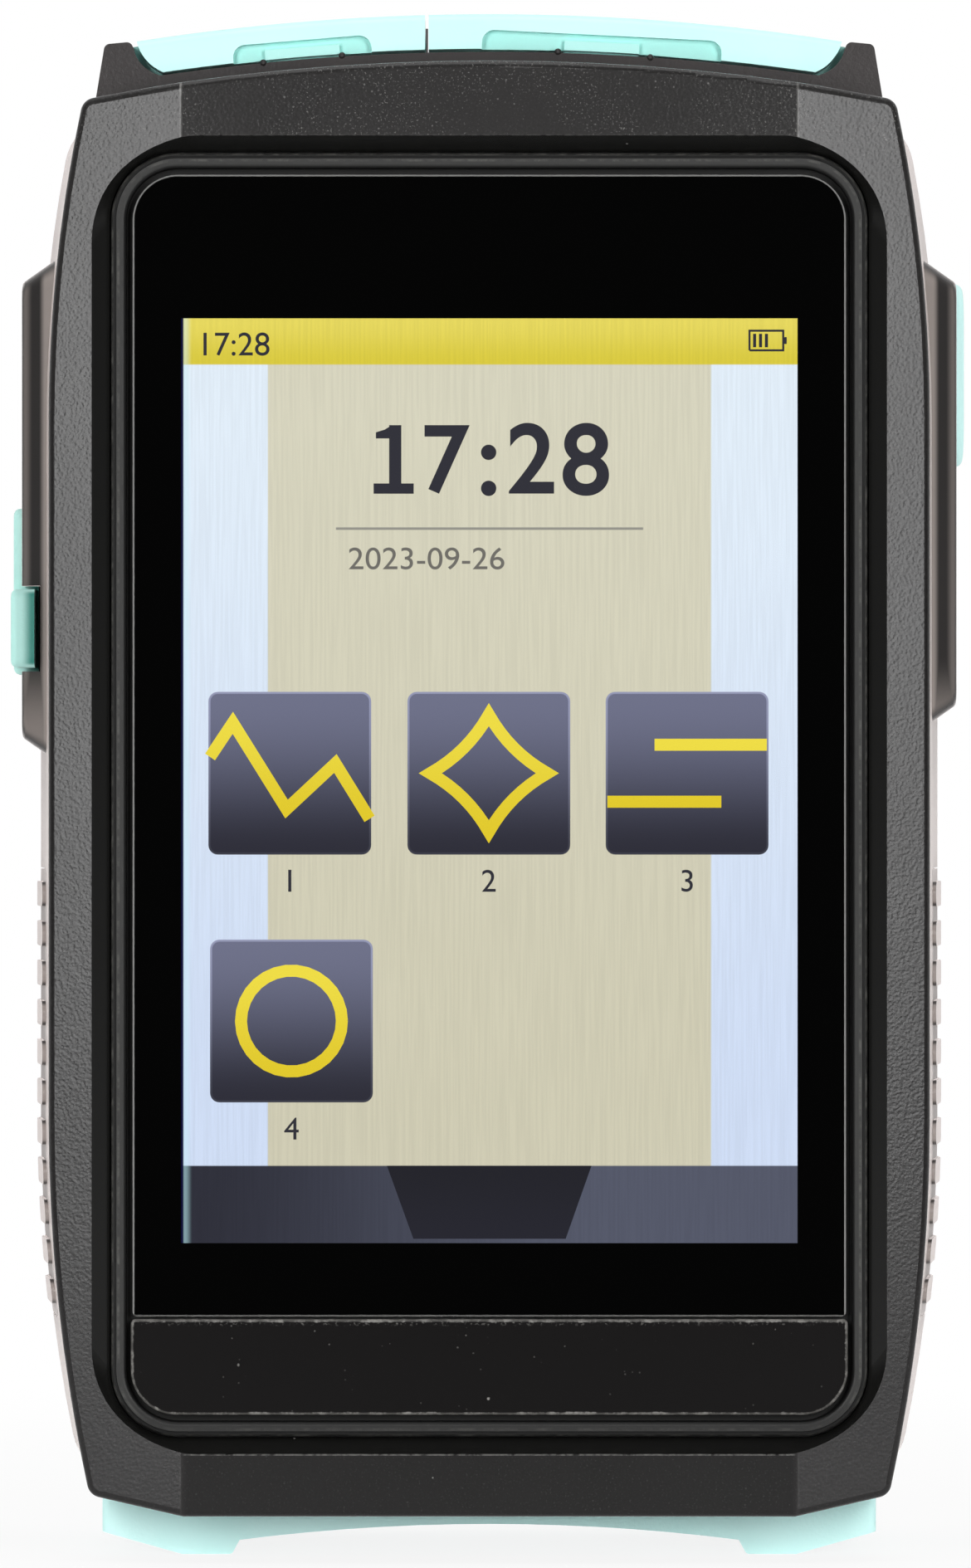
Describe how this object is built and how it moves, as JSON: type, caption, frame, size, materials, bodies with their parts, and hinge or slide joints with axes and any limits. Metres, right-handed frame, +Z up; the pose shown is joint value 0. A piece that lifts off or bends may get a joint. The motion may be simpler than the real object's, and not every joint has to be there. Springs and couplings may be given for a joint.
{
  "type": "optical time domain reflectometer",
  "caption": "Pocket optical time domain reflectometer: upright black case with a touch screen, hinged teal covers over the optical ports, a side port cover, a power key and a footed bumper.",
  "frame": {"origin": "middle of the overall box, on the plane the feet stand on", "axes": "+X to the viewer's right, +Y from the screen to the back, +Z up"},
  "size_m": [0.0768, 0.036, 0.1234],
  "materials": {
    "bezel_black": "fine leather-like moulded texture",
    "case_black": "soft-touch matte",
    "seal_black": "smooth moulded",
    "cover_glass": "polished",
    "trim_black": "semi-gloss",
    "mask_black": "printed black",
    "display": "lit picture",
    "stamped_steel": "stamped",
    "frame_grey": "moulded",
    "board_green": "solder mask",
    "screw_steel": "blackened",
    "flex_amber": "polyimide film",
    "module_aluminium": "bead blasted",
    "tray_black": "moulded",
    "fibre_yellow": "fibre buffer",
    "teal_plastic": "satin",
    "teal_rubber": "satin silicone",
    "port_nickel": "nickel plated",
    "laser_brass": "turned",
    "grip_rubber": "ribbed",
    "battery_wrap": "shrink wrap"
  },
  "bodies": {
    "case": {"front_bezel": "bezel_black", "screen_seal": "seal_black", "touch_glass": "cover_glass", "trim_plate": "trim_black", "screen_mask": "mask_black", "display_panel": "display", "lcd_module": "stamped_steel", "inner_frame": "frame_grey", "main_board": "board_green", "board_screws": "screw_steel", "frame_screws": "screw_steel", "board_shields": "stamped_steel", "display_flex": "flex_amber", "optical_module": "module_aluminium", "fibre_tray": "tray_black", "fibre_coil": "fibre_yellow", "fibre_pigtail": "fibre_yellow", "top_frame": "case_black", "otdr_port": "port_nickel", "power_meter_port": "port_nickel", "fault_locator_port": "port_nickel", "port_boot": "seal_black", "power_meter_detector": "port_nickel", "fault_locator_laser": "laser_brass", "rear_housing": "case_black", "case_seal": "seal_black", "left_grip": "grip_rubber", "right_grip": "grip_rubber", "bottom_bumper": "teal_rubber", "charge_socket": "stamped_steel", "charge_board": "board_green", "charge_board_screws": "screw_steel", "key_board": "board_green", "power_switch": "tray_black", "speaker": "tray_black", "battery_pack": "battery_wrap", "case_screws": "screw_steel", "top_frame_screws": "screw_steel", "foot_screws": "screw_steel", "hinge_pins": "screw_steel"},
    "left_cover": {"left_top_cover": "teal_plastic"},
    "right_cover": {"right_top_cover": "teal_plastic"},
    "side_cover": {"port_cover": "teal_rubber"},
    "key": {"power_key": "teal_rubber"}
  },
  "joints": [
    {"name": "left_cover_hinge", "type": "hinge", "parent": "case", "child": "left_cover", "pos_m": [-0.0172, 0.0114, 0.1177], "axis": [-1, 0, 0], "range_deg": [0, 120]},
    {"name": "right_cover_hinge", "type": "hinge", "parent": "case", "child": "right_cover", "pos_m": [0.0122, 0.0114, 0.1177], "axis": [-1, 0, 0], "range_deg": [0, 120]},
    {"name": "port_cover_hinge", "type": "hinge", "parent": "case", "child": "side_cover", "pos_m": [-0.03715, 0.0058, 0.0772], "axis": [0, 0, -1], "range_deg": [0, 100]},
    {"name": "power_key_press", "type": "slide", "parent": "case", "child": "key", "axis": [-1, 0, 0], "range_m": [0, 0.0008], "stiffness_N_per_m": 400, "springref_m": -0.0005}
  ]
}
